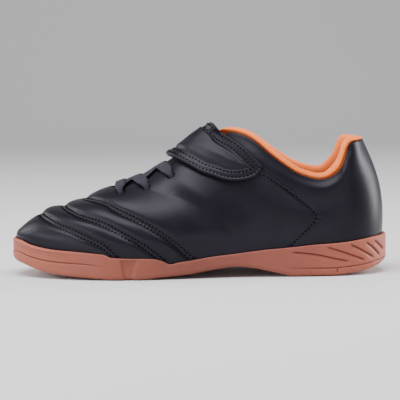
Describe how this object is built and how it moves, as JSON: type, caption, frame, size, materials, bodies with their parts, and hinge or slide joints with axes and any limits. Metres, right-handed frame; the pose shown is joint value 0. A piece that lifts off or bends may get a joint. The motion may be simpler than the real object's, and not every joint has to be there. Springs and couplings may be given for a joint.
{
  "type": "indoor_soccer_shoe",
  "caption": "Child's left indoor soccer shoe: black pleated leather upper, hook and loop instep strap over elastic laces, orange collar lining, gum rubber cup sole",
  "frame": {"origin": "middle of the shoe's length and width, on the floor it stands on", "axes": "toe towards -X and heel towards +X, outer side of the foot -Y, inner side +Y, up +Z"},
  "size_m": [0.207, 0.0765, 0.0839],
  "materials": {
    "gum_rubber": "satin moulded gum rubber",
    "black_leather": "smooth satin synthetic leather",
    "insole_fabric": "matt dark textile",
    "orange_mesh": "matt padded orange mesh",
    "tongue_fabric": "matt black textile",
    "black_lace": "matt woven elastic"
  },
  "bodies": {
    "root": {"outsole": "gum_rubber", "upper": "black_leather", "insole": "insole_fabric", "collar_lining": "orange_mesh", "tongue": "tongue_fabric", "strap": "black_leather", "laces": "black_lace"}
  },
  "joints": []
}
